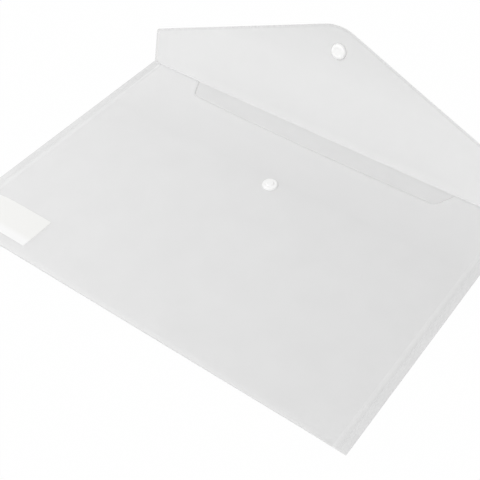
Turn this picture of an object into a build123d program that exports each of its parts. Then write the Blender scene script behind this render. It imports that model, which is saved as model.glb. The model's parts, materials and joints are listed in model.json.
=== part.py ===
from build123d import *
import os
from math import asin, atan2, cos, degrees, hypot, sin, sqrt

# A translucent plastic document wallet, lying on its back with its flap raised. One die-cut sheet makes
# the back panel, the bottom fold, the front panel, the flap crease and the flap, and a weld down each side
# closes the pocket. A press stud on the front panel clicks into a socket on the flap, and each is clamped to
# its sheet by a cap with a prong. Lengths are in millimetres. X runs across the wallet, Y from the bottom
# fold to the flap crease and Z up from the table. The origin is on the table, under the pocket's middle.

# Sheet and pocket
SHEET = 0.4
POCKET_WIDTH = 330.0
POCKET_DEPTH = 228.0
POCKET_GAP = 2.0
WELD_WIDTH = 6.5
WELD_BEAD = 0.1
SHOULDER_RUN = 14.0
FOLD_STEPS = 5

# Mouth edge and thumb notch of the front panel
MOUTH_SETBACK = 0.3
MOUTH_CORNER_RADIUS = 2.0
NOTCH_WIDTH = 234.0
NOTCH_DEPTH = 16.5
NOTCH_SLANT = 8.0
NOTCH_SAG = 1.6
NOTCH_RADIUS = 8.0

# Flap, with the angle in degrees that it stands above the table
FLAP_SIDE = 28.0
FLAP_APEX = 91.0
FLAP_TIP_RADIUS = 35.0
FLAP_CORNER_RADIUS = 3.5
FLAP_CLEARANCE = 0.3
FLAP_RAISED = 78.0

# Press stud, socket and the caps that clamp them
SNAP_TIP_MARGIN = 21.0
SNAP_OFFSET = 3.0
SNAP_RADIUS = 5.4
SNAP_BASE = 0.9
SNAP_EDGE_RADIUS = 0.35
SNAP_PLAY = 0.45
STUD_HEIGHT = 2.9
STUD_NECK_RADIUS = 2.7
STUD_HEAD_RADIUS = 2.95
STUD_HEAD_LENGTH = 1.0
STUD_WELL_RADIUS = 2.1
SOCKET_HEIGHT = 3.2
SOCKET_LIP_LENGTH = 0.6
SOCKET_HEAD_PLAY = 0.35
SOCKET_NECK_PLAY = 0.15
PRONG_RADIUS = 1.2
PRONG_PLAY = 0.1
NUB_RADIUS = 1.7
NUB_HEIGHT = 0.5
CAP_RADIUS = 6.0
CAP_RIM = 0.5
CAP_DOME = 0.4

# Blank label near the lower left corner
LABEL_WIDTH = 52.5
LABEL_HEIGHT = 27.5
LABEL_SIDE_MARGIN = 13.0
LABEL_BOTTOM_MARGIN = 8.2
LABEL_CORNER_RADIUS = 1.2
LABEL_THICKNESS = 0.15

CUT_OVERRUN = 1.0

# Levels of the two sheets, and where the front sheet leaves the weld and reaches its full height
FRONT_LOW = SHEET + POCKET_GAP
FRONT_TOP = FRONT_LOW + SHEET
WELD_TOP = SHEET + WELD_BEAD + SHEET
HALF_WIDTH = POCKET_WIDTH / 2
WELD_INNER = HALF_WIDTH - WELD_WIDTH
PANEL_HALF = WELD_INNER - SHOULDER_RUN

# The crease bends round a level axis, and closed it brings the flap just clear of the front panel
CREASE_RADIUS = (FRONT_TOP + FLAP_CLEARANCE) / 2
CREASE_Z = SHEET / 2 + CREASE_RADIUS
CREASE_Y = POCKET_DEPTH / 2 - CREASE_RADIUS - SHEET / 2
CREASE_AXIS = Axis((0, CREASE_Y, CREASE_Z), (1, 0, 0))

# The panels' lower edges, where the bottom fold begins, and the mouth edge of the front panel
BOTTOM_Y = -POCKET_DEPTH / 2
FOLD_REACH = FRONT_TOP / 2
FOLD_Y = BOTTOM_Y + FOLD_REACH
MOUTH_Y = CREASE_Y - MOUTH_SETBACK

# The socket sits below where the flap's slanted edges would meet. Closed, it rests over the stud, so the
# flap slopes up from the crease by a small angle, in radians.
SNAP_REACH = FLAP_APEX - SNAP_TIP_MARGIN
MATED_RISE = FRONT_TOP + SNAP_BASE + SNAP_PLAY - CREASE_Z
SOCKET_DROP = CREASE_RADIUS - SHEET / 2 - SOCKET_HEIGHT
CLOSED_SLOPE = asin(MATED_RISE / hypot(SNAP_REACH, SOCKET_DROP)) - atan2(SOCKET_DROP, SNAP_REACH)
FLAP_CLOSED = 180 - degrees(CLOSED_SLOPE)
SOCKET_MIDDLE = (SNAP_BASE + SOCKET_HEIGHT) / 2 + SHEET / 2 - CREASE_RADIUS
STUD_Y = CREASE_Y - SNAP_REACH * cos(CLOSED_SLOPE) - SOCKET_MIDDLE * sin(CLOSED_SLOPE)
PRONG_HOLE_RADIUS = PRONG_RADIUS + PRONG_PLAY


def block(x_low, x_high, y_low, y_high, z_low, z_high):
    """A box between two values on each axis."""
    size = (x_high - x_low, y_high - y_low, z_high - z_low)
    middle = ((x_high + x_low) / 2, (y_high + y_low) / 2, (z_high + z_low) / 2)
    return Pos(*middle) * Box(*size)


def raised(flat_piece):
    """A piece of the flap, made as it lies flat on the table, turned up about the crease."""
    return flat_piece.rotate(CREASE_AXIS, FLAP_RAISED)


def turned(outline):
    """A round piece from its half outline, given as radius and height."""
    return revolve(Plane.XZ * make_face(outline), Axis.Z)


def rise_line(lift):
    """The front sheet's line up its right shoulder, at a lift above its underside, level at both ends."""
    start = (WELD_INNER, SHEET + WELD_BEAD + lift)
    end = (PANEL_HALF, FRONT_LOW + lift)
    middle = ((start[0] + end[0]) / 2, (start[1] + end[1]) / 2)
    return [TangentArc(start, middle, tangent=(-1, 0)), TangentArc(end, middle, tangent=(1, 0))]


def bent_sheet(low, high):
    """A layer that follows the front sheet from weld to weld, between two lifts above its underside."""
    weld_z = SHEET + WELD_BEAD
    weld_side = Line((WELD_INNER, weld_z + low), (WELD_INNER, weld_z + high))
    level = Polyline(
        (PANEL_HALF, FRONT_LOW + low),
        (0, FRONT_LOW + low),
        (0, FRONT_LOW + high),
        (PANEL_HALF, FRONT_LOW + high),
    )
    profile = make_face([weld_side, *rise_line(low), *rise_line(high), *level.edges()])
    right = extrude(Plane.XZ.offset(-MOUTH_Y) * profile, MOUTH_Y - FOLD_Y)
    return right + mirror(right, about=Plane.YZ)


def front_plan():
    """The front sheet seen from above, with the thumb notch in its mouth edge."""
    notch_half = NOTCH_WIDTH / 2
    floor_half = notch_half - NOTCH_SLANT
    floor_y = MOUTH_Y - NOTCH_DEPTH
    floor = ThreePointArc((-floor_half, floor_y), (0, floor_y - NOTCH_SAG), (floor_half, floor_y))
    rest = Polyline(
        (floor_half, floor_y),
        (notch_half, MOUTH_Y),
        (HALF_WIDTH, MOUTH_Y),
        (HALF_WIDTH, FOLD_Y),
        (-HALF_WIDTH, FOLD_Y),
        (-HALF_WIDTH, MOUTH_Y),
        (-notch_half, MOUTH_Y),
        (-floor_half, floor_y),
    )
    plan = make_face([floor, *rest.edges()])
    rows = plan.vertices().group_by(Axis.Y)
    plan = fillet(rows[1], NOTCH_RADIUS)
    mouth_corners = plan.vertices().group_by(Axis.Y)[-1].sort_by(lambda corner: abs(corner.X))
    return fillet(mouth_corners[:2], MOUTH_CORNER_RADIUS)


def front_sheet():
    """The whole front sheet, bent down to the welds, with its notch and the hole for the stud's prong."""
    sheet = bent_sheet(0, SHEET) & extrude(front_plan(), FRONT_TOP + CUT_OVERRUN)
    hole = Pos(SNAP_OFFSET, STUD_Y, FRONT_LOW) * Cylinder(PRONG_HOLE_RADIUS, FRONT_TOP)
    return sheet - hole


def back_panel():
    """The level panel that lies on the table between the welds."""
    return block(-WELD_INNER, WELD_INNER, FOLD_Y, CREASE_Y, 0, SHEET)


def front_panel():
    """The level middle of the front sheet, with the thumb notch."""
    level = block(-PANEL_HALF, PANEL_HALF, BOTTOM_Y, CREASE_Y, 0, FRONT_TOP + CUT_OVERRUN)
    return front_sheet() & level


def right_side_seam():
    """The weld down the right side, with the shoulder of the front sheet rising from it."""
    weld = block(WELD_INNER, HALF_WIDTH, BOTTOM_Y, CREASE_Y, 0, WELD_TOP)
    side = block(PANEL_HALF, WELD_INNER, BOTTOM_Y, CREASE_Y, 0, FRONT_TOP + CUT_OVERRUN)
    return weld + (front_sheet() & side)


def left_side_seam():
    """The weld and shoulder down the left side."""
    return mirror(right_side_seam(), about=Plane.YZ)


def shoulder_gap(run):
    """The room between the sheets at a distance in from the weld."""
    half_run = SHOULDER_RUN / 2
    half_rise = (POCKET_GAP - WELD_BEAD) / 2
    radius = (half_run**2 + half_rise**2) / (2 * half_rise)
    if run <= half_run:
        return WELD_BEAD + radius - sqrt(radius**2 - run**2)
    return POCKET_GAP - radius + sqrt(radius**2 - (SHOULDER_RUN - run) ** 2)


def fold_section(x, gap):
    """The half ring of the bottom fold where the sheets lie a gap apart, flatter where the gap is less."""
    plane = Plane(origin=(x, FOLD_Y, SHEET + gap / 2), x_dir=(0, 1, 0), z_dir=(1, 0, 0))
    outer = (FOLD_REACH, gap / 2 + SHEET)
    inner = (FOLD_REACH - SHEET, gap / 2)
    edges = []
    for reach, height in (outer, inner):
        edges.append(EllipticalCenterArc((0, 0), reach, height, start_angle=90, arc_size=90))
        edges.append(EllipticalCenterArc((0, 0), reach, height, start_angle=180, arc_size=90))
    for side in (1, -1):
        edges.append(Line((0, side * inner[1]), (0, side * outer[1])))
    return plane * make_face(edges)


def bottom_fold():
    """The fold that turns the back sheet up into the front sheet, pinched towards the welds at both ends."""
    middle = extrude(fold_section(-PANEL_HALF, POCKET_GAP), PANEL_HALF + PANEL_HALF)
    runs = [SHOULDER_RUN * step / FOLD_STEPS for step in range(FOLD_STEPS + 1)]
    right = loft([fold_section(WELD_INNER - run, shoulder_gap(run)) for run in reversed(runs)])
    return middle + right + mirror(right, about=Plane.YZ)


def flap_crease():
    """The bent strip of sheet between the back panel and the raised flap."""
    edge = Plane.XZ.offset(-CREASE_Y) * Pos(0, SHEET / 2) * Rectangle(POCKET_WIDTH, SHEET)
    return revolve(edge, CREASE_AXIS, FLAP_RAISED)


def flap_panel():
    """The pointed flap with its rounded tip, and the hole for its cap's prong."""
    outline = Polyline(
        (-HALF_WIDTH, 0),
        (HALF_WIDTH, 0),
        (HALF_WIDTH, FLAP_SIDE),
        (0, FLAP_APEX),
        (-HALF_WIDTH, FLAP_SIDE),
        close=True,
    )
    face = make_face(outline)
    face = fillet(face.vertices().sort_by(Axis.Y)[-1], FLAP_TIP_RADIUS)
    sides = face.vertices().group_by(Axis.X)
    face = fillet([sides[end].sort_by(Axis.Y)[-1] for end in (0, -1)], FLAP_CORNER_RADIUS)
    face -= Pos(SNAP_OFFSET, SNAP_REACH) * Circle(PRONG_HOLE_RADIUS)
    return raised(extrude(Pos(0, CREASE_Y) * face, SHEET))


def stud():
    """The stud half: a flange with a hollow neck and a fuller head, round a well for the prong's end."""
    outline = Polyline(
        (PRONG_HOLE_RADIUS, 0),
        (SNAP_RADIUS, 0),
        (SNAP_RADIUS, SNAP_BASE),
        (STUD_NECK_RADIUS, SNAP_BASE),
        (STUD_NECK_RADIUS, STUD_HEIGHT - STUD_HEAD_LENGTH),
        (STUD_HEAD_RADIUS, STUD_HEIGHT - STUD_HEAD_LENGTH / 2),
        (STUD_NECK_RADIUS, STUD_HEIGHT),
        (STUD_WELL_RADIUS, STUD_HEIGHT),
        (STUD_WELL_RADIUS, SNAP_BASE),
        (PRONG_HOLE_RADIUS, SNAP_BASE),
        close=True,
    )
    body = turned(outline)
    rim = body.edges().filter_by(GeomType.CIRCLE).group_by(SortBy.RADIUS)[-1].sort_by(Axis.Z)[-1]
    return fillet(rim, SNAP_EDGE_RADIUS)


def socket():
    """The socket half: a cup whose lip clicks past the stud's head, which then has room in the cup."""
    cup_radius = STUD_HEAD_RADIUS + SOCKET_HEAD_PLAY
    lip_radius = STUD_NECK_RADIUS + SOCKET_NECK_PLAY
    outline = Polyline(
        (PRONG_HOLE_RADIUS, 0),
        (SNAP_RADIUS, 0),
        (SNAP_RADIUS, SOCKET_HEIGHT),
        (cup_radius, SOCKET_HEIGHT),
        (lip_radius, SOCKET_HEIGHT - SOCKET_LIP_LENGTH / 2),
        (cup_radius, SOCKET_HEIGHT - SOCKET_LIP_LENGTH),
        (cup_radius, SNAP_BASE),
        (PRONG_HOLE_RADIUS, SNAP_BASE),
        close=True,
    )
    body = turned(outline)
    rim = body.edges().filter_by(GeomType.CIRCLE).group_by(SortBy.RADIUS)[-1].sort_by(Axis.Z)[-1]
    return fillet(rim, SNAP_EDGE_RADIUS)


def cap():
    """A domed cap under the sheet, whose prong goes up through sheet and base and is spread into a nub."""
    seat = SHEET + SNAP_BASE
    dome = TangentArc((0, -CAP_RIM - CAP_DOME), (CAP_RADIUS, -CAP_RIM), tangent=(1, 0))
    rest = Polyline(
        (CAP_RADIUS, -CAP_RIM),
        (CAP_RADIUS, 0),
        (PRONG_RADIUS, 0),
        (PRONG_RADIUS, seat),
        (NUB_RADIUS, seat),
        (NUB_RADIUS, seat + NUB_HEIGHT),
        (0, seat + NUB_HEIGHT),
        (0, -CAP_RIM - CAP_DOME),
    )
    return turned([dome, *rest.edges()])


def front_stud():
    """The stud on the outside of the front panel."""
    return Pos(SNAP_OFFSET, STUD_Y, FRONT_TOP) * stud()


def stud_cap():
    """The cap inside the pocket that clamps the stud to the front panel."""
    return Pos(SNAP_OFFSET, STUD_Y, FRONT_LOW) * cap()


def flap_socket():
    """The socket on the inside of the flap."""
    return raised(Pos(SNAP_OFFSET, CREASE_Y + SNAP_REACH, SHEET) * socket())


def flap_cap():
    """The cap on the outside of the flap that clamps the socket to it."""
    return raised(Pos(SNAP_OFFSET, CREASE_Y + SNAP_REACH, 0) * cap())


def label():
    """The blank label stuck on the front sheet, following the sheet where it bends down to the weld."""
    middle_x = LABEL_SIDE_MARGIN + LABEL_WIDTH / 2 - HALF_WIDTH
    middle_y = BOTTOM_Y + LABEL_BOTTOM_MARGIN + LABEL_HEIGHT / 2
    plan = Pos(middle_x, middle_y) * RectangleRounded(LABEL_WIDTH, LABEL_HEIGHT, LABEL_CORNER_RADIUS)
    return bent_sheet(SHEET, SHEET + LABEL_THICKNESS) & extrude(plan, FRONT_TOP + CUT_OVERRUN)


PIECES = (
    back_panel,
    bottom_fold,
    front_panel,
    left_side_seam,
    right_side_seam,
    flap_crease,
    flap_panel,
    flap_socket,
    flap_cap,
    front_stud,
    stud_cap,
    label,
)

os.makedirs("parts", exist_ok=True)
for piece in PIECES:
    export_step(piece(), f"parts/{piece.__name__}.step")

print(f"crease axis at y {CREASE_Y:.3f} and z {CREASE_Z:.3f}")
print(f"flap raised {FLAP_RAISED:.2f} degrees, closed after {FLAP_CLOSED - FLAP_RAISED:.3f} degrees more")
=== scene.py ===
import json
from math import cos, pi, radians, sin, sqrt

import bmesh
import bpy
from mathutils import Matrix, Vector


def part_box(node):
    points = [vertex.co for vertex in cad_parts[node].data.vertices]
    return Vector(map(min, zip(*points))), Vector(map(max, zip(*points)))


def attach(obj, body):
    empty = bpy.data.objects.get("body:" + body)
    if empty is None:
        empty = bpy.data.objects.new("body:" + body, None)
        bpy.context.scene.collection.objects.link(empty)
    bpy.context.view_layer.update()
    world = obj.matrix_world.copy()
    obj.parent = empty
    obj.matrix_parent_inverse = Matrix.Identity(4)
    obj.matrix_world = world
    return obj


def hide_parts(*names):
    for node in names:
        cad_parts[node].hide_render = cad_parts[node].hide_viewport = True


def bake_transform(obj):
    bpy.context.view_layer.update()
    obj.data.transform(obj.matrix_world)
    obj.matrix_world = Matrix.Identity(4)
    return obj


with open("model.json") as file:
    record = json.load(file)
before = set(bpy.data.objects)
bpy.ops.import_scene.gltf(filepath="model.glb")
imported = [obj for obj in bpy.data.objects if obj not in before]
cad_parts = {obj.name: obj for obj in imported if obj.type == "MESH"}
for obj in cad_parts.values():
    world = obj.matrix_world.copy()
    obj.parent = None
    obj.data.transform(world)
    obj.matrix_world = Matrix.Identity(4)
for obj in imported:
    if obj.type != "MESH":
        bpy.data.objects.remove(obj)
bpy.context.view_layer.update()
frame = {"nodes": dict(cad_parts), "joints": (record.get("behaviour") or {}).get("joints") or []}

# Lengths are in metres, angles in radians. X runs across the wallet, Y from its fold to its crease and Z up.
MM = 0.001

# Sheet, pocket, crease, stud and label, read from the frame
back_low, back_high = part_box("back_panel")
front_low, front_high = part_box("front_panel")
stud_low, stud_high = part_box("front_stud")
label_low, label_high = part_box("label")
SHEET = back_high.z - back_low.z
WELD_INNER = back_high.x
CREASE_Y = back_high.y
FOLD_Y = back_low.y
PANEL_HALF = front_high.x
MOUTH_Y = front_high.y
FRONT_LOW = front_low.z
HALF_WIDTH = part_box("right_side_seam")[1].x
FOLD_REACH = FOLD_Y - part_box("bottom_fold")[0].y
HINGE_Z = frame["joints"][0]["pos_m"][2]

# Weld, with a raised line and a groove pressed in it, and the pale line where the front sheet bends up
WELD_TOP = 0.9 * MM
WELD_RIDGE_PLACE = HALF_WIDTH - 2.7 * MM
WELD_RIDGE_WIDTH = 1.6 * MM
WELD_RIDGE_RISE = 0.12 * MM
GROOVE_PLACE = HALF_WIDTH - 5 * MM
GROOVE_WIDTH = 1.6 * MM
GROOVE_DEPTH = 0.2 * MM
PALE_LINE_PLACE = HALF_WIDTH - 8.5 * MM
PALE_LINE_WIDTH = 2 * MM
PALE_LINE_RISE = 0.08 * MM

# The front sheet: its rise from the welds, rounding at the fold and lie on the back sheet at the mouth
SHOULDER_RUN = 24 * MM
FOLD_EASE = 3 * MM
EASE_Y = FOLD_Y + FOLD_EASE
MOUTH_RUN = 46 * MM
MOUTH_LIE = 16 * MM
MOUTH_START_Y = MOUTH_Y - MOUTH_LIE - MOUTH_RUN
MOUTH_CLOSE_SHARE = 0.98

# Thumb notch, the corners beside it and the rim along the mouth, whose cut edge is eased down
NOTCH_HALF = 117 * MM
NOTCH_SLANT = 8 * MM
NOTCH_DEPTH = 16.5 * MM
NOTCH_SAG = 1.6 * MM
NOTCH_RADIUS = 8 * MM
MOUTH_CORNER_RADIUS = 2 * MM
MOUTH_RIM = 1.4 * MM
MOUTH_RIM_DROP = 0.25 * MM

# Flap
FLAP_RAISED = radians(78)
FLAP_SIDE = 28 * MM
FLAP_APEX = 91 * MM
FLAP_TIP_RADIUS = 35 * MM
FLAP_CORNER_RADIUS = 3.5 * MM
FLAP_RIM = 2.2 * MM

# Slight waves of the thin sheet: height, and for each ripple its turn across, turn along, start and share
FRONT_WAVE = 0.16 * MM
FRONT_RIPPLES = ((31, 17, 0.6, 1.0), (19, -41, 2.1, 0.7), (67, 29, 4.0, 0.4))
FLAP_WAVE = 0.35 * MM
FLAP_RIPPLES = ((14, 33, 0.4, 1.0), (27, -21, 1.7, 0.6))

# Press stud: radius and height along both halves, where a point given twice keeps its corner
STUD_LINE = [(r * MM, z * MM) for r, z in (
    (0, 0), (5.85, 0), (5.85, 0), (5.65, 0.4), (5.6, 1.2), (5.0, 1.65), (3.7, 1.7), (2.9, 1.35), (2.7, 2.2),
    (2.35, 2.4), (0, 2.3),
)]
SOCKET_LINE = [(r * MM, z * MM) for r, z in (
    (0, 0), (6.0, 0), (6.0, 0), (5.95, 0.25), (5.75, 1.0), (5.3, 1.65), (4.2, 2.0), (3.1, 1.95),
    (3.05, 1.7), (0, 1.7),
)]

# How often the stud's other corners are cut, and how far, and the socket's place on the flap
CORNER_CUTS = 2
CORNER_CUT_SHARE = 0.25
SNAP_OFFSET = 3 * MM
SNAP_REACH = 70 * MM

# Label
LABEL_CORNER_RADIUS = 1.2 * MM
LABEL_THICKNESS = 0.15 * MM
LABEL_SINK = 0.02 * MM

# Rows of the meshes: the sheets' step along, the band of rows that follows the mouth, and counts
ROW_STEP = 7 * MM
BAND_Y = MOUTH_Y - 34 * MM
BAND_SHARES = (0.2, 0.4, 0.6, 0.8, 1.0)
FOLD_STEPS = 9
CREASE_STEPS = 12
FLAP_ROWS = 15
LABEL_ROWS = 12
TURN_STEPS = 48

# Columns of the meshes: places across, each with the step that leads up to it
POCKET_STOPS = (
    (NOTCH_HALF - NOTCH_SLANT - NOTCH_RADIUS, 6 * MM),
    (NOTCH_HALF + MOUTH_CORNER_RADIUS, 0.5 * MM),
    (WELD_INNER - SHOULDER_RUN, 5 * MM),
    (PALE_LINE_PLACE - PALE_LINE_WIDTH / 2, 2 * MM),
    (PALE_LINE_PLACE + PALE_LINE_WIDTH / 2, 0.25 * MM),
    (WELD_INNER, 0.5 * MM),
    (GROOVE_PLACE - GROOVE_WIDTH / 2, 0.4 * MM),
    (GROOVE_PLACE + GROOVE_WIDTH / 2, 0.2 * MM),
    (WELD_RIDGE_PLACE - WELD_RIDGE_WIDTH / 2, 0.4 * MM),
    (WELD_RIDGE_PLACE + WELD_RIDGE_WIDTH / 2, 0.2 * MM),
    (HALF_WIDTH, 0.5 * MM),
)
FLAP_STOPS = (
    (20 * MM, 2 * MM),
    (HALF_WIDTH - FLAP_CORNER_RADIUS, 6 * MM),
    (HALF_WIDTH - 1 * MM, 0.5 * MM),
    (HALF_WIDTH - 0.2 * MM, 0.2 * MM),
    (HALF_WIDTH, 0.05 * MM),
)
LABEL_STOPS = (
    (label_low.x + LABEL_CORNER_RADIUS, 0.2 * MM),
    (label_high.x - LABEL_CORNER_RADIUS, 2.5 * MM),
    (label_high.x, 0.2 * MM),
)

# The angle from which an edge is sharp, the reach within which points are one, and what counts as nothing
SHARP_ANGLE = radians(35)
MERGE_REACH = 1e-7
TINY = 1e-9

# Greys along the front: darker round the fold, a painted shade; palest where it comes down and more opaque
# towards the mouth, painted light
FOLD_PAINTED_SHADE = ((FOLD_Y - FOLD_REACH, 0.90), (EASE_Y, 0.945))
MOUTH_PAINTED_LIGHT = ((MOUTH_START_Y, 0.945), (MOUTH_Y - 38 * MM, 0.957), (MOUTH_Y - 10 * MM, 0.94))
MOUTH_LAST_ALPHA = 0.82
FRONT_DRIFT = 1 * MM

# Greys up the flap: paler at its root, a painted highlight on the crease and painted light above it; darker
# towards its tip and along its rim, painted shade
CREASE_PAINTED_HIGHLIGHT = ((0.4 * MM, 0.86), (1.4 * MM, 0.80))
CREASE_DRIFT = 0.1 * MM
FLAP_PAINTED_SHADING = ((4 * MM, 0.845), (10 * MM, 0.805), (50 * MM, 0.805), (95 * MM, 0.69))
RIM_PAINTED_SHADE = ((30 * MM, 0.76), (95 * MM, 0.65))
FLAP_DRIFT = 5 * MM

# Frosted sheet: alpha, roughness and strength of the grain on its outer and inner faces, and its refraction
OUTER_LOOK = (0.72, 0.42, 0.12)
INNER_LOOK = (0.45, 0.40, 0.10)
SHEET_IOR = 1.49

# Sheet with a clouded grey: its darker and paler grey, and its look
CLOUDED_SHEETS = {
    "sheet_outside": (0.935, 0.955, OUTER_LOOK),
    # The inner faces are greyer than the outer ones of the same sheet: a painted shade
    "sheet_inside": (0.77, 0.79, INNER_LOOK),
    "sheet_edge": (0.80, 0.84, (0.80, 0.30, 0.10)),
    "sheet_mouth_edge": (0.93, 0.95, (0.35, 0.30, 0.10)),
    "sheet_weld": (0.83, 0.87, (0.75, 0.35, 0.15)),
    # The pale line's sheet is more opaque, so paler: partly a painted highlight, beside its ridge
    "sheet_pale": (0.93, 0.96, (0.76, 0.35, 0.10)),
    "sheet_lip": (0.93, 0.95, (0.85, 0.30, 0.10)),
    # The rim along the mouth is greyer: a painted shade at the mouth's cut edge
    "sheet_lip_rim": (0.895, 0.915, (0.80, 0.40, 0.12)),
}

# Sheet whose grey changes along it, in painted light and shade: axis, greys by place, drift of the borders,
# look and any last alpha
GRADED_SHEETS = {
    "sheet_fold": ("Y", FOLD_PAINTED_SHADE, FRONT_DRIFT, OUTER_LOOK),
    "sheet_mouth": ("Y", MOUTH_PAINTED_LIGHT, FRONT_DRIFT, OUTER_LOOK, MOUTH_LAST_ALPHA),
    "sheet_flap_inside": ("Z", FLAP_PAINTED_SHADING, FLAP_DRIFT, INNER_LOOK),
    "sheet_crease": ("Z", CREASE_PAINTED_HIGHLIGHT, CREASE_DRIFT, INNER_LOOK),
    "sheet_rim": ("Z", RIM_PAINTED_SHADE, FLAP_DRIFT, INNER_LOOK),
}

# The sheets of the pocket and of the flap, in the order of their slots
POCKET_SHEETS = (
    "sheet_outside", "sheet_inside", "sheet_mouth_edge", "sheet_weld", "sheet_pale", "sheet_fold",
    "sheet_mouth", "sheet_lip", "sheet_lip_rim",
)
FLAP_SHEETS = ("sheet_outside", "sheet_flap_inside", "sheet_edge", "sheet_crease", "sheet_rim")

# White plastic of the press stud, and the label's film with a whiter band along its lower edge, a painted
# highlight
STUD_COLOURS = ((0.93, 0.93, 0.925), (0.95, 0.95, 0.945))
STUD_ROUGHNESS = 0.35
LABEL_COLOURS_PAINTED_HIGHLIGHT = ((label_low.y + 5 * MM, (0.90, 0.90, 0.898)), (label_low.y + 9 * MM, (0.85, 0.85, 0.835)))
LABEL_DRIFT = 2 * MM
LABEL_ROUGHNESS = 0.6

# Textures: cells of noise to a metre, where a cloud's two colours begin, and the relief of the grain
NOISE_DETAIL = 3
DRIFT_SCALE = 30
SHEET_CLOUD_SCALE = 38
PLASTIC_CLOUD_SCALE = 420
CLOUD_SHARES = (0.3, 0.7)
SHEET_GRAIN_SCALE = 6000
SHEET_GRAIN_DETAIL = 2
SHEET_GRAIN_DEPTH = 0.02 * MM
PLASTIC_GRAIN_SCALE = 1500
PLASTIC_GRAIN_STRENGTH = 0.1
PLASTIC_GRAIN_DEPTH = 0.05 * MM

# Floor and the light from all round
FLOOR_SIZE = 8.0
FLOOR_DROP = 0.1 * MM
FLOOR_GREY = 0.6
FLOOR_ROUGHNESS = 0.9
FLOOR_WHITE_SHARE = 0.992
WORLD_LIGHT = 0.747

# Lamps: name, place, target, width and power
LAMPS = (
    ("key", (-0.3, -2.5, 1.65), (0, 0, 0), 0.6, 12),
    ("left", (-0.34, -0.2, 0.5), (-0.2, -0.05, 0), 0.4, 0.85),
    ("low_right", (0.8, -0.9, 0.12), (1.16, 0.12, 0.05), 0.2, 2.6),
)

# Camera, with the focal length for a square picture
CAMERA_PLACE = Vector((287.791, -374.162, 475.119)) * MM
CAMERA_TARGET = Vector((16.273, -12.616, 0.0)) * MM
CAMERA_ROLL = -0.0158
CAMERA_LENS = 71.18
CAMERA_SENSOR = 36.0
CAMERA_NEAR = 10 * MM


# Mesh helpers

def spread(start, stops):
    """Values from a start on: each stop of (value, step) is reached in even steps of about that length."""
    values = [start]
    for stop, step in stops:
        last = values[-1]
        count = max(1, round((stop - last) / step))
        values += [last + (stop - last) * i / count for i in range(1, count + 1)]
    return values


def mirrored(values):
    """Values from zero up, with their negatives before them."""
    return [-v for v in reversed(values) if v > 0] + list(values)


def corner_height(x, corner, slope_a, slope_b, radius):
    """Height at x of the arc that rounds the corner of two straight lines, or None where the arc isn't."""
    side = 1 if slope_b > slope_a else -1
    lengths = [sqrt(1 + s * s) for s in (slope_a, slope_b)]
    rise = [side * radius * length for length in lengths]
    dx = (rise[0] - rise[1]) / (slope_b - slope_a)
    centre = (corner[0] + dx, corner[1] + slope_a * dx + rise[0])
    ends = [centre[0] + side * radius * s / length for s, length in zip((slope_a, slope_b), lengths)]
    if not min(ends) < x < max(ends):
        return None
    return centre[1] - side * sqrt(radius**2 - (x - centre[0]) ** 2)


def rippled(x, along, ripples):
    """The sum of some ripples at a place on a sheet."""
    return sum(share * sin(across * x + up * along + start) for across, up, start, share in ripples)


def add_face(bm, corners, slot):
    """A face on the corners that differ, if there are three or more."""
    kept = list(dict.fromkeys(corners))
    if len(kept) < 3 or bm.faces.get(kept):
        return
    bm.faces.new(kept).material_index = slot


def grid_faces(bm, rows, slot):
    """Four-sided faces over rows of vertices."""
    for row, after in zip(rows, rows[1:]):
        for i in range(len(row) - 1):
            add_face(bm, (row[i], row[i + 1], after[i + 1], after[i]), slot)


def slot_numbers(names):
    """The number of each material slot, by the material's name."""
    return {name: number for number, name in enumerate(names)}


def new_object(name, bm, materials):
    """A piece from a finished bmesh, with outward faces, smooth but for its sharp edges."""
    bmesh.ops.recalc_face_normals(bm, faces=bm.faces)
    for face in bm.faces:
        face.smooth = True
    for edge in bm.edges:
        if len(edge.link_faces) == 2:
            edge.smooth = edge.calc_face_angle(0) < SHARP_ANGLE
    mesh = bpy.data.meshes.new(name)
    bm.to_mesh(mesh)
    bm.free()
    for material in materials:
        mesh.materials.append(material)
    piece = bpy.data.objects.new(name, mesh)
    bpy.context.scene.collection.objects.link(piece)
    return piece


# Outlines of the sheet

def mouth_y(x):
    """The front sheet's mouth edge at a place across, with the thumb notch."""
    x = abs(x)
    if x > WELD_INNER:
        return CREASE_Y
    floor_half = NOTCH_HALF - NOTCH_SLANT
    floor_y = MOUTH_Y - NOTCH_DEPTH
    floor_radius = (floor_half**2 + NOTCH_SAG**2) / (2 * NOTCH_SAG)
    floor_slope = floor_half / sqrt(floor_radius**2 - floor_half**2)
    slant = NOTCH_DEPTH / NOTCH_SLANT
    low = corner_height(x, (floor_half, floor_y), floor_slope, slant, NOTCH_RADIUS)
    high = corner_height(x, (NOTCH_HALF, MOUTH_Y), slant, 0, MOUTH_CORNER_RADIUS)
    if low is not None or high is not None:
        return low if low is not None else high
    floor = floor_y - NOTCH_SAG + floor_radius - sqrt(floor_radius**2 - min(x, floor_half) ** 2)
    return min(MOUTH_Y, max(floor, floor_y + (x - floor_half) * slant))


def flap_height(x):
    """The flap's height above its root at a place across."""
    x = abs(x)
    slope = (FLAP_APEX - FLAP_SIDE) / HALF_WIDTH
    tip = corner_height(x, (0, FLAP_APEX), slope, -slope, FLAP_TIP_RADIUS)
    if tip is not None:
        return tip
    stretch = sqrt(1 + slope**2)
    centre_x = HALF_WIDTH - FLAP_CORNER_RADIUS
    if x > centre_x + FLAP_CORNER_RADIUS * slope / stretch:
        centre_y = FLAP_SIDE + FLAP_CORNER_RADIUS * (slope - stretch)
        return centre_y + sqrt(max(FLAP_CORNER_RADIUS**2 - (x - centre_x) ** 2, 0))
    return FLAP_APEX - slope * x


# Height of the front sheet

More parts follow.
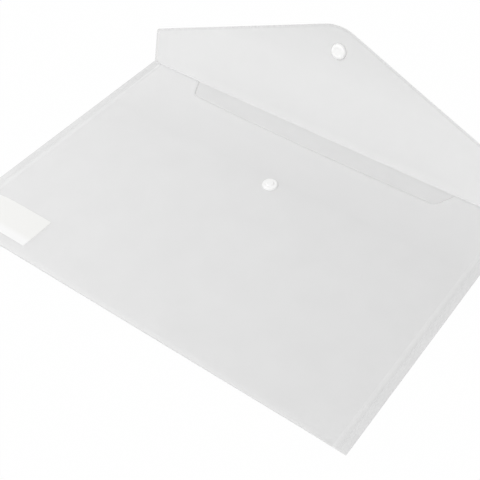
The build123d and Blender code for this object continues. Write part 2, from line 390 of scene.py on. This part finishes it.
def side_share(x):
    """How far the front sheet has risen from the weld at a place across, from none to all of the way."""
    run = min(max((WELD_INNER - abs(x)) / SHOULDER_RUN, 0), 1)
    return 2 * run**2 if run < 0.5 else 1 - 2 * (1 - run) ** 2


def mouth_share(y):
    """How far apart the sheets are at a place along: the front one lies closer to the back at the mouth."""
    run = min(max((y - MOUTH_START_Y) / MOUTH_RUN, 0), 1)
    return 1 - MOUTH_CLOSE_SHARE * run * run * (3 - 2 * run)


def ridge(x, place, width, rise):
    """The height of a smooth narrow ridge along the wallet, the same on both sides."""
    offset = (abs(x) - place) / width
    return rise * (0.5 + 0.5 * cos(2 * pi * offset)) if abs(offset) < 0.5 else 0.0


def seam_relief(x):
    """The lines that welding leaves along the sides."""
    return (
        ridge(x, WELD_RIDGE_PLACE, WELD_RIDGE_WIDTH, WELD_RIDGE_RISE)
        - ridge(x, GROOVE_PLACE, GROOVE_WIDTH, GROOVE_DEPTH)
        + ridge(x, PALE_LINE_PLACE, PALE_LINE_WIDTH, PALE_LINE_RISE)
    )


def front_wave(x, y):
    """The front sheet's slight waves, none at its edges."""
    across = max(0.0, 1 - (x / PANEL_HALF) ** 2)
    along = max(0.0, 1 - ((y - (MOUTH_Y + FOLD_Y) / 2) / ((MOUTH_Y - FOLD_Y) / 2)) ** 2)
    return FRONT_WAVE * across * sqrt(along) * rippled(x, y, FRONT_RIPPLES)


def front_height(x, y):
    """The height of the front sheet's outer face, or of the weld's top."""
    if abs(x) >= WELD_INNER:
        return WELD_TOP + seam_relief(x)
    gap = (FRONT_LOW - SHEET) * side_share(x) * mouth_share(y)
    return max(2 * SHEET + gap + front_wave(x, y), WELD_TOP) + seam_relief(x)


# The pocket: back sheet, bottom fold and front sheet, welded at both sides

def back_rows():
    """Places along the back sheet, from the crease down to the bottom fold."""
    rows = spread(FOLD_Y, ((EASE_Y, FOLD_EASE), (BAND_Y, ROW_STEP)))
    rows += [BAND_Y + (MOUTH_Y - BAND_Y) * share for share in BAND_SHARES]
    return [CREASE_Y] + rows[::-1]


def front_rows(x):
    """Places along the front sheet at a place across, from the bottom fold up to the rim of the mouth."""
    rim_y = mouth_y(x) - MOUTH_RIM
    rows = spread(EASE_Y, ((BAND_Y, ROW_STEP),))
    rows += [BAND_Y + (rim_y - MOUTH_RIM - BAND_Y) * share for share in BAND_SHARES]
    return rows + [rim_y]


def fold_line(x, low, high, reach):
    """The line round the bottom fold between two heights, eased where it runs into the front sheet."""
    middle, half = (low + high) / 2, (high - low) / 2
    angles = [pi / 2 * step / FOLD_STEPS for step in range(1, FOLD_STEPS + 1)]
    under = [(x, FOLD_Y - reach * sin(a), middle - half * cos(a)) for a in angles]
    over = [(x, EASE_Y - (FOLD_EASE + reach) * sin(a), middle + half * cos(a)) for a in angles[-2::-1]]
    return under + over


def pocket_line(x, outer):
    """The sheet's outer or inner line at a place across: down the back, round the fold and up to the mouth.

    In the welds the inner line runs in the middle, where the two sheets meet.
    """
    welded = abs(x) >= WELD_INNER
    meeting = welded and not outer
    depth = 0.0 if outer else SHEET
    low = WELD_TOP / 2 if meeting else depth
    lip_y = mouth_y(x)
    lip_drop = MOUTH_RIM_DROP if outer and not welded else 0.0

    def top(y):
        return WELD_TOP / 2 if meeting else front_height(x, y) - depth

    line = [(x, y, low) for y in back_rows()]
    line += fold_line(x, low, top(EASE_Y), FOLD_REACH - depth)
    line += [(x, y, top(y)) for y in front_rows(x)]
    return line + [(x, lip_y, top(lip_y) - lip_drop)]


def outer_sheet(centre, at_lip):
    """The sheet of an outer face of the pocket, by its centre and by whether it ends at the mouth's edge."""
    across = abs(centre.x)
    if across > WELD_INNER:
        return "sheet_weld"
    # The rim along the mouth: greyer, a painted shade
    if at_lip:
        return "sheet_lip_rim"
    # The pale line: more opaque, partly a painted highlight
    if abs(across - PALE_LINE_PLACE) < PALE_LINE_WIDTH / 2:
        return "sheet_pale"
    # Round the fold: darker, a painted shade
    if centre.y < EASE_Y:
        return "sheet_fold"
    # Where the front comes down to the mouth: paler, painted light
    if centre.y > MOUTH_START_Y and centre.z > SHEET:
        return "sheet_mouth"
    return "sheet_outside"


def make_pocket(materials):
    """The pocket as one closed skin, hollow inside and open at the mouth."""
    bm = bmesh.new()
    slot = slot_numbers(POCKET_SHEETS)
    columns = mirrored(spread(0, POCKET_STOPS))
    inner_columns = [x for x in columns if abs(x) <= WELD_INNER + TINY]
    first = columns.index(inner_columns[0])
    last = columns.index(inner_columns[-1])
    outer = [[bm.verts.new(p) for p in pocket_line(x, True)] for x in columns]
    inner = [[bm.verts.new(p) for p in pocket_line(x, False)] for x in inner_columns]
    lip_line = {line[-1] for line in outer}
    grid_faces(bm, outer, slot["sheet_outside"])
    for face in bm.faces:
        at_lip = not lip_line.isdisjoint(face.verts)
        face.material_index = slot[outer_sheet(face.calc_center_median(), at_lip)]
    # The inner faces: greyer than the outer ones, a painted shade
    grid_faces(bm, inner, slot["sheet_inside"])
    for a, b, c, d in zip(outer[first:last], outer[first + 1:last + 1], inner, inner[1:]):
        add_face(bm, (a[0], b[0], d[0], c[0]), slot["sheet_mouth_edge"])
        add_face(bm, (a[-1], b[-1], d[-1], c[-1]), slot["sheet_lip"])
    for weld in (outer[:first + 1], outer[last:]):
        for a, b in zip(weld, weld[1:]):
            add_face(bm, (a[0], b[0], b[-1], a[-1]), slot["sheet_mouth_edge"])
    for line in (outer[0], outer[-1]):
        add_face(bm, line, slot["sheet_weld"])
    # In the welds, inner points of the two sheets that fall together are joined and the slits closed
    bmesh.ops.remove_doubles(bm, verts=bm.verts, dist=MERGE_REACH)
    bmesh.ops.holes_fill(bm, edges=[e for e in bm.edges if e.is_boundary], sides=0)
    return new_object("pocket_sheet", bm, materials)


# The label on the front sheet

def make_label(material):
    """A thin film with rounded corners that follows the front sheet."""
    bm = bmesh.new()
    top, under = [], []
    for x in spread(label_low.x, LABEL_STOPS):
        side = max(LABEL_CORNER_RADIUS - min(x - label_low.x, label_high.x - x), 0)
        inset = LABEL_CORNER_RADIUS - sqrt(max(LABEL_CORNER_RADIUS**2 - side**2, 0))
        height = label_high.y - label_low.y - 2 * inset
        ys = [label_low.y + inset + height * i / LABEL_ROWS for i in range(LABEL_ROWS + 1)]
        top.append([bm.verts.new((x, y, front_height(x, y) + LABEL_THICKNESS)) for y in ys])
        under.append([bm.verts.new((x, y, front_height(x, y) - LABEL_SINK)) for y in ys])
    grid_faces(bm, top, 0)
    grid_faces(bm, under, 0)
    for end in (0, -1):
        grid_faces(bm, [top[end], under[end]], 0)
        grid_faces(bm, [[line[end] for line in top], [line[end] for line in under]], 0)
    return new_object("label_film", bm, [material])


# The flap: crease and raised panel

def flap_point(along, depth, angle):
    """The y and z of a point of the flap, by its way from the root, its depth in the sheet and its turn."""
    drop = depth - HINGE_Z
    y = CREASE_Y + along * cos(angle) - drop * sin(angle)
    z = HINGE_Z + along * sin(angle) + drop * cos(angle)
    return y, z


def flap_line(x, depth):
    """The line of the flap at a place across, round the crease and up to its edge."""
    line = [(x, *flap_point(0, depth, FLAP_RAISED * i / CREASE_STEPS)) for i in range(CREASE_STEPS + 1)]
    height = flap_height(x)
    rim = height - FLAP_RIM
    for along in spread(0, ((rim, rim / FLAP_ROWS), (height, FLAP_RIM)))[1:]:
        wave = FLAP_WAVE * (along / height) * rippled(x, along, FLAP_RIPPLES)
        line.append((x, *flap_point(along, depth + wave, FLAP_RAISED)))
    return line


def make_flap(materials):
    """The crease and the flap as one closed sheet."""
    bm = bmesh.new()
    slot = slot_numbers(FLAP_SHEETS)
    columns = mirrored(spread(0, FLAP_STOPS))
    outer = [[bm.verts.new(p) for p in flap_line(x, 0)] for x in columns]
    inner = [[bm.verts.new(p) for p in flap_line(x, SHEET)] for x in columns]
    grid_faces(bm, outer, slot["sheet_outside"])
    # Crease, inside and rim of the flap: a painted highlight at the root, painted shade towards the tip and
    # along the rim
    grid_faces(bm, [line[:CREASE_STEPS + 1] for line in inner], slot["sheet_crease"])
    grid_faces(bm, [line[CREASE_STEPS:-1] for line in inner], slot["sheet_flap_inside"])
    grid_faces(bm, [line[-2:] for line in inner], slot["sheet_rim"])
    for end in (0, -1):
        grid_faces(bm, [[line[end] for line in outer], [line[end] for line in inner]], slot["sheet_edge"])
        grid_faces(bm, [outer[end], inner[end]], slot["sheet_edge"])
    return new_object("flap_sheet", bm, materials)


# The press stud: stud on the front sheet, socket on the flap

def softened(points):
    """An open line that runs round its corners, which are cut off and cut again, with no point twice."""
    far, near = CORNER_CUT_SHARE, 1 - CORNER_CUT_SHARE
    for _ in range(CORNER_CUTS):
        cut = [points[0]]
        for (r0, z0), (r1, z1) in zip(points, points[1:]):
            cut.append((near * r0 + far * r1, near * z0 + far * z1))
            cut.append((far * r0 + near * r1, far * z0 + near * z1))
        points = cut + [points[-1]]
    return list(dict.fromkeys(points))


def stud_point(x, y, height):
    """A place on the stud, from its middle on the front sheet."""
    return (stud_low.x + stud_high.x) / 2 + x, (stud_low.y + stud_high.y) / 2 + y, stud_low.z + height


def socket_point(x, along, height):
    """A place on the socket, from its middle on the flap's inside."""
    return SNAP_OFFSET + x, *flap_point(SNAP_REACH + along, SHEET + height, FLAP_RAISED)


def make_turned(name, profile, place, material):
    """A turned piece from a line of (radius, height) that begins and ends on its axis, set out by place."""
    bm = bmesh.new()
    angles = [2 * pi * i / TURN_STEPS for i in range(TURN_STEPS)]
    rings = []
    for radius, height in softened(profile):
        if radius < TINY:
            rings.append([bm.verts.new(place(0, 0, height))] * (TURN_STEPS + 1))
            continue
        ring = [bm.verts.new(place(radius * cos(a), radius * sin(a), height)) for a in angles]
        rings.append(ring + ring[:1])
    grid_faces(bm, rings, 0)
    return new_object(name, bm, [material])


# Parts of a material

def principled(name):
    """A new material with nodes, its tree and its shader."""
    material = bpy.data.materials.new(name)
    material.use_nodes = True
    tree = material.node_tree
    return material, tree, tree.nodes["Principled BSDF"]


def noise(tree, scale, detail=NOISE_DETAIL):
    """A noise texture in the object's own coordinates."""
    coordinates = tree.nodes.new("ShaderNodeTexCoord")
    texture = tree.nodes.new("ShaderNodeTexNoise")
    texture.inputs["Scale"].default_value = scale
    texture.inputs["Detail"].default_value = detail
    tree.links.new(coordinates.outputs["Object"], texture.inputs["Vector"])
    return texture.outputs["Fac"]


def bump(tree, value, strength, distance):
    """A normal from a height."""
    node = tree.nodes.new("ShaderNodeBump")
    node.inputs["Strength"].default_value = strength
    node.inputs["Distance"].default_value = distance
    tree.links.new(value, node.inputs["Height"])
    return node.outputs["Normal"]


def mapped(tree, value, source, target):
    """A value taken from one range to another and held within it."""
    node = tree.nodes.new("ShaderNodeMapRange")
    for name, limit in zip(("From Min", "From Max", "To Min", "To Max"), (*source, *target)):
        node.inputs[name].default_value = limit
    tree.links.new(value, node.inputs["Value"])
    return node.outputs["Result"]


def ramp(tree, value, stops):
    """A colour by a value, with stops of (share, colour)."""
    node = tree.nodes.new("ShaderNodeValToRGB")
    elements = node.color_ramp.elements
    for share, _ in stops[1:-1]:
        elements.new(share)
    for element, (share, colour) in zip(elements, stops):
        element.position = share
        element.color = (*colour, 1)
    tree.links.new(value, node.inputs["Fac"])
    return node.outputs["Color"]


def grey(shade):
    """A colour without a hue."""
    return shade, shade, shade


def clouded(tree, scale, low, high):
    """A colour that drifts between two."""
    return ramp(tree, noise(tree, scale), list(zip(CLOUD_SHARES, (low, high))))


def place_share(tree, axis, first, last, drift):
    """How far along an axis a point lies from a first place to a last, as a share with uneven borders."""
    coordinates = tree.nodes.new("ShaderNodeTexCoord")
    split = tree.nodes.new("ShaderNodeSeparateXYZ")
    uneven = tree.nodes.new("ShaderNodeMath")
    uneven.operation = "MULTIPLY_ADD"
    uneven.inputs[1].default_value = drift
    tree.links.new(coordinates.outputs["Object"], split.inputs["Vector"])
    tree.links.new(noise(tree, DRIFT_SCALE), uneven.inputs[0])
    tree.links.new(split.outputs[axis], uneven.inputs[2])
    return mapped(tree, uneven.outputs["Value"], (first, last), (0, 1))


def graded(tree, axis, stops, drift):
    """A colour that changes along an axis by stops of (place, colour), and the share that leads it."""
    first, last = stops[0][0], stops[-1][0]
    share = place_share(tree, axis, first, last, drift)
    share_stops = [((place - first) / (last - first), colour) for place, colour in stops]
    return ramp(tree, share, share_stops), share


# Materials

def finish_sheet(tree, shader, colour, look):
    """Gives a frosted sheet its colour, translucency, soft gloss and fine grain."""
    alpha, roughness, grain = look
    height = noise(tree, SHEET_GRAIN_SCALE, SHEET_GRAIN_DETAIL)
    tree.links.new(colour, shader.inputs["Base Color"])
    shader.inputs["Alpha"].default_value = alpha
    shader.inputs["Roughness"].default_value = roughness
    shader.inputs["IOR"].default_value = SHEET_IOR
    tree.links.new(bump(tree, height, grain, SHEET_GRAIN_DEPTH), shader.inputs["Normal"])


def clouded_sheet(name, low, high, look):
    """Frosted sheet that drifts between two greys."""
    material, tree, shader = principled(name)
    finish_sheet(tree, shader, clouded(tree, SHEET_CLOUD_SCALE, grey(low), grey(high)), look)
    return material


def graded_sheet(name, axis, shades, drift, look, last_alpha=None):
    """Frosted sheet whose grey changes along an axis, and its alpha too where a last one is given."""
    material, tree, shader = principled(name)
    colour, share = graded(tree, axis, [(place, grey(shade)) for place, shade in shades], drift)
    finish_sheet(tree, shader, colour, look)
    if last_alpha is not None:
        tree.links.new(mapped(tree, share, (0, 1), (look[0], last_alpha)), shader.inputs["Alpha"])
    return material


def finish_plastic(tree, shader, colour, roughness):
    """Gives opaque plastic its colour, gloss and faint unevenness."""
    height = noise(tree, PLASTIC_GRAIN_SCALE)
    tree.links.new(colour, shader.inputs["Base Color"])
    shader.inputs["Roughness"].default_value = roughness
    tree.links.new(bump(tree, height, PLASTIC_GRAIN_STRENGTH, PLASTIC_GRAIN_DEPTH), shader.inputs["Normal"])


def stud_plastic():
    """Moulded white plastic with a faint mottle."""
    material, tree, shader = principled("stud_white")
    finish_plastic(tree, shader, clouded(tree, PLASTIC_CLOUD_SCALE, *STUD_COLOURS), STUD_ROUGHNESS)
    return material


def label_plastic():
    """White film, whiter in a band along its lower edge: a painted highlight."""
    material, tree, shader = principled("label_film")
    colour, _ = graded(tree, "Y", LABEL_COLOURS_PAINTED_HIGHLIGHT, LABEL_DRIFT)
    finish_plastic(tree, shader, colour, LABEL_ROUGHNESS)
    return material


# Stage: floor, light and camera

def background_share(tree):
    """One for rays that should see the white background: those from the camera, gloss and glass."""
    path = tree.nodes.new("ShaderNodeLightPath")
    total = path.outputs["Is Camera Ray"]
    for name in ("Is Glossy Ray", "Is Transmission Ray"):
        node = tree.nodes.new("ShaderNodeMath")
        node.operation = "MAXIMUM"
        tree.links.new(total, node.inputs[0])
        tree.links.new(path.outputs[name], node.inputs[1])
        total = node.outputs["Value"]
    return total


def make_floor():
    """A wide pale floor that shows white but keeps a trace of the object's shadow."""
    bpy.ops.mesh.primitive_plane_add(size=FLOOR_SIZE, location=(0, 0, -FLOOR_DROP))
    floor = bpy.context.object
    floor.name = "floor"
    material, tree, shader = principled("floor_white")
    shader.inputs["Base Color"].default_value = (*grey(FLOOR_GREY), 1)
    shader.inputs["Roughness"].default_value = FLOOR_ROUGHNESS
    shader.inputs["Specular IOR Level"].default_value = 0.0
    glow = tree.nodes.new("ShaderNodeEmission")
    mix = tree.nodes.new("ShaderNodeMixShader")
    weight = tree.nodes.new("ShaderNodeMath")
    weight.operation = "MULTIPLY"
    weight.inputs[1].default_value = FLOOR_WHITE_SHARE
    tree.links.new(background_share(tree), weight.inputs[0])
    tree.links.new(weight.outputs["Value"], mix.inputs["Fac"])
    tree.links.new(shader.outputs["BSDF"], mix.inputs[1])
    tree.links.new(glow.outputs["Emission"], mix.inputs[2])
    tree.links.new(mix.outputs["Shader"], tree.nodes["Material Output"].inputs["Surface"])
    floor.data.materials.append(material)


def make_world():
    """Soft light from all round, and white where the camera sees past the floor."""
    world = bpy.data.worlds.new("studio")
    bpy.context.scene.world = world
    world.use_nodes = True
    tree = world.node_tree
    shader = tree.nodes["Background"]
    mix = tree.nodes.new("ShaderNodeMix")
    mix.data_type = "FLOAT"
    mix.inputs["A"].default_value = WORLD_LIGHT
    mix.inputs["B"].default_value = 1.0
    tree.links.new(background_share(tree), mix.inputs["Factor"])
    shader.inputs["Color"].default_value = (1, 1, 1, 1)
    tree.links.new(mix.outputs["Result"], shader.inputs["Strength"])


def make_lamp(name, place, target, width, power):
    """A square soft lamp that faces its target."""
    data = bpy.data.lights.new(name, "AREA")
    data.shape = "SQUARE"
    data.size = width
    data.energy = power
    lamp = bpy.data.objects.new(name, data)
    lamp.location = place
    lamp.rotation_euler = (Vector(target) - Vector(place)).to_track_quat("-Z", "Y").to_euler()
    bpy.context.scene.collection.objects.link(lamp)


def make_camera():
    """The camera, above and beyond the wallet's lower right corner and rolled a little."""
    data = bpy.data.cameras.new("camera")
    data.sensor_fit = "HORIZONTAL"
    data.sensor_width = CAMERA_SENSOR
    data.lens = CAMERA_LENS
    data.clip_start = CAMERA_NEAR
    camera = bpy.data.objects.new("camera", data)
    bpy.context.scene.collection.objects.link(camera)
    forward = (CAMERA_TARGET - CAMERA_PLACE).normalized()
    level = forward.cross(Vector((0, 0, 1))).normalized()
    up = level.cross(forward)
    right = level * cos(CAMERA_ROLL) + up * sin(CAMERA_ROLL)
    top = up * cos(CAMERA_ROLL) - level * sin(CAMERA_ROLL)
    turn = Matrix((right, top, -forward)).transposed()
    camera.matrix_world = Matrix.Translation(CAMERA_PLACE) @ turn.to_4x4()
    bpy.context.scene.camera = camera


# The object
sheets = {name: clouded_sheet(name, *values) for name, values in CLOUDED_SHEETS.items()}
sheets.update({name: graded_sheet(name, *values) for name, values in GRADED_SHEETS.items()})
pocket = make_pocket([sheets[name] for name in POCKET_SHEETS])
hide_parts("back_panel", "bottom_fold", "front_panel", "left_side_seam", "right_side_seam")
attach(pocket, "pocket")

flap = make_flap([sheets[name] for name in FLAP_SHEETS])
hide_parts("flap_crease", "flap_panel")
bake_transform(flap)

white = stud_plastic()
stud = make_turned("stud_snap", STUD_LINE, stud_point, white)
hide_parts("front_stud")
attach(stud, "pocket")
socket = make_turned("socket_snap", SOCKET_LINE, socket_point, white)
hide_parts("flap_socket")
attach(socket, "flap")
for node in ("stud_cap", "flap_cap"):
    frame["nodes"][node].data.materials.clear()
    frame["nodes"][node].data.materials.append(white)

label = make_label(label_plastic())
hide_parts("label")
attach(label, "pocket")

make_floor()
make_world()
for lamp in LAMPS:
    make_lamp(*lamp)
make_camera()
bpy.context.scene.view_settings.view_transform = "Standard"
